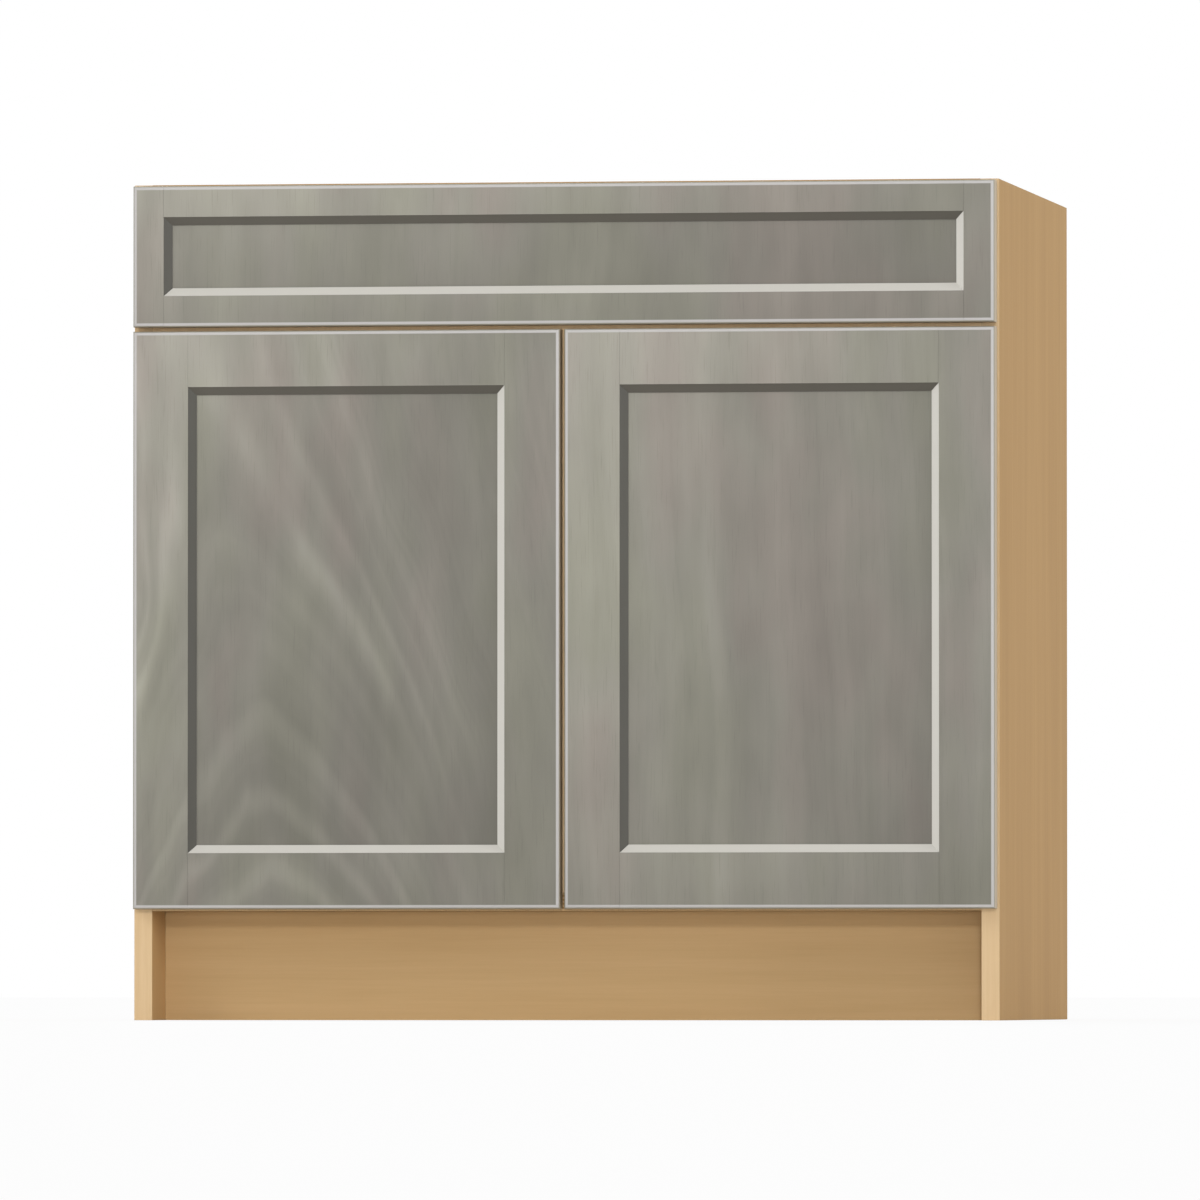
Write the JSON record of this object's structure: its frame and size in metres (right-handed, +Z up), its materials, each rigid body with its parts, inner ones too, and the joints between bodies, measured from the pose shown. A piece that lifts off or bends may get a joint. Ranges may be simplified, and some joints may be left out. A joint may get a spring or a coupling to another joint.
{
  "type": "sink base cabinet",
  "caption": "Open-topped sink base cabinet: recessed-panel doors on concealed hinges under a fixed false front, with a recessed toe kick.",
  "frame": {"origin": "middle of the footprint, on the floor", "axes": "+X to the right seen from the front, +Y from the doors to the rear, +Z up"},
  "size_m": [0.9144, 0.6096, 0.8763],
  "materials": {
    "case_plywood": "clear-coated birch plywood",
    "edge_band": "pale maple, satin",
    "front_finish": "grey-brown stain, satin",
    "hinge_steel": "nickel plated",
    "zinc_hardware": "zinc plated",
    "bumper": "clear soft pad"
  },
  "bodies": {
    "cabinet": {"side_left": "case_plywood", "side_right": "case_plywood", "edge_band_left": "edge_band", "edge_band_right": "edge_band", "bottom_panel": "case_plywood", "toe_kick": "case_plywood", "back_panel": "case_plywood", "back_rail_top": "case_plywood", "back_rail_bottom": "case_plywood", "front_stretcher": "case_plywood", "divider_rail": "edge_band", "centre_stile": "edge_band", "corner_block_front_left": "case_plywood", "corner_block_front_right": "case_plywood", "corner_block_rear_left": "case_plywood", "corner_block_rear_right": "case_plywood", "false_front_stile_left": "front_finish", "false_front_stile_right": "front_finish", "false_front_rail_bottom": "front_finish", "false_front_rail_top": "front_finish", "false_front_panel": "front_finish", "screw_left_lower": "zinc_hardware", "screw_left_upper": "zinc_hardware", "screw_right_lower": "zinc_hardware", "screw_right_upper": "zinc_hardware", "hinge_left_lower_arm": "hinge_steel", "hinge_left_lower_plate": "zinc_hardware", "hinge_left_upper_arm": "hinge_steel", "hinge_left_upper_plate": "zinc_hardware", "hinge_right_lower_arm": "hinge_steel", "hinge_right_lower_plate": "zinc_hardware", "hinge_right_upper_arm": "hinge_steel", "hinge_right_upper_plate": "zinc_hardware"},
    "left_door": {"door_left_stile_left": "front_finish", "door_left_stile_right": "front_finish", "door_left_rail_bottom": "front_finish", "door_left_rail_top": "front_finish", "door_left_panel": "front_finish", "hinge_left_lower_cup": "hinge_steel", "hinge_left_lower_pin": "zinc_hardware", "hinge_left_upper_cup": "hinge_steel", "hinge_left_upper_pin": "zinc_hardware", "bumper_left_lower": "bumper", "bumper_left_upper": "bumper"},
    "right_door": {"door_right_stile_left": "front_finish", "door_right_stile_right": "front_finish", "door_right_rail_bottom": "front_finish", "door_right_rail_top": "front_finish", "door_right_panel": "front_finish", "hinge_right_lower_cup": "hinge_steel", "hinge_right_lower_pin": "zinc_hardware", "hinge_right_upper_cup": "hinge_steel", "hinge_right_upper_pin": "zinc_hardware", "bumper_right_lower": "bumper", "bumper_right_upper": "bumper"}
  },
  "joints": [
    {"name": "left_door_hinge", "type": "hinge", "parent": "cabinet", "child": "left_door", "pos_m": [-0.4479, -0.2953, 0.41905], "axis": [0, 0, 1], "range_deg": [-100, 0]},
    {"name": "right_door_hinge", "type": "hinge", "parent": "cabinet", "child": "right_door", "pos_m": [0.4479, -0.2953, 0.41905], "axis": [0, 0, 1], "range_deg": [0, 100]}
  ]
}
